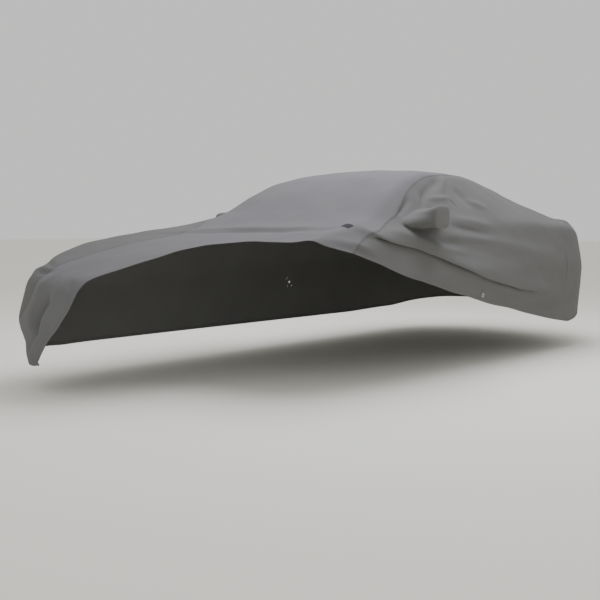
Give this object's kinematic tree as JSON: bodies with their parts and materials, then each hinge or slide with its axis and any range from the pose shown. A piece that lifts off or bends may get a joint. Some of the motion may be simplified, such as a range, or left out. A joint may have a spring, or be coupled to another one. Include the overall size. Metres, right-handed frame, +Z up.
{
  "type": "car cover",
  "caption": "Fitted sedan-length fabric cover in its draped shape, drawn back off one front corner, with mirror pockets and metal eyelets in its hem.",
  "frame": {"origin": "inner face of the cloth under the highest point of the roof, on the centre line", "axes": "+X to the rear, -X to the nose, -Y to the side with the drawn-back corner (the left), +Z up"},
  "size_m": [4.8124, 2.0972, 1.2359],
  "materials": {
    "centre_cloth": "matt light grey woven polyester",
    "side_cloth": "matt mid grey stretch knit",
    "label_cloth": "bare dark grey woven label",
    "eyelet_metal": "nickel-plated brass"
  },
  "bodies": {
    "root": {"centre_panel": "centre_cloth", "left_side_panel": "side_cloth", "right_side_panel": "side_cloth", "left_mirror_pocket": "side_cloth", "right_mirror_pocket": "side_cloth", "left_eyelet_patch": "side_cloth", "right_eyelet_patch": "side_cloth", "left_eyelet_ring": "eyelet_metal", "right_eyelet_ring": "eyelet_metal", "label_patch": "label_cloth"}
  },
  "joints": []
}
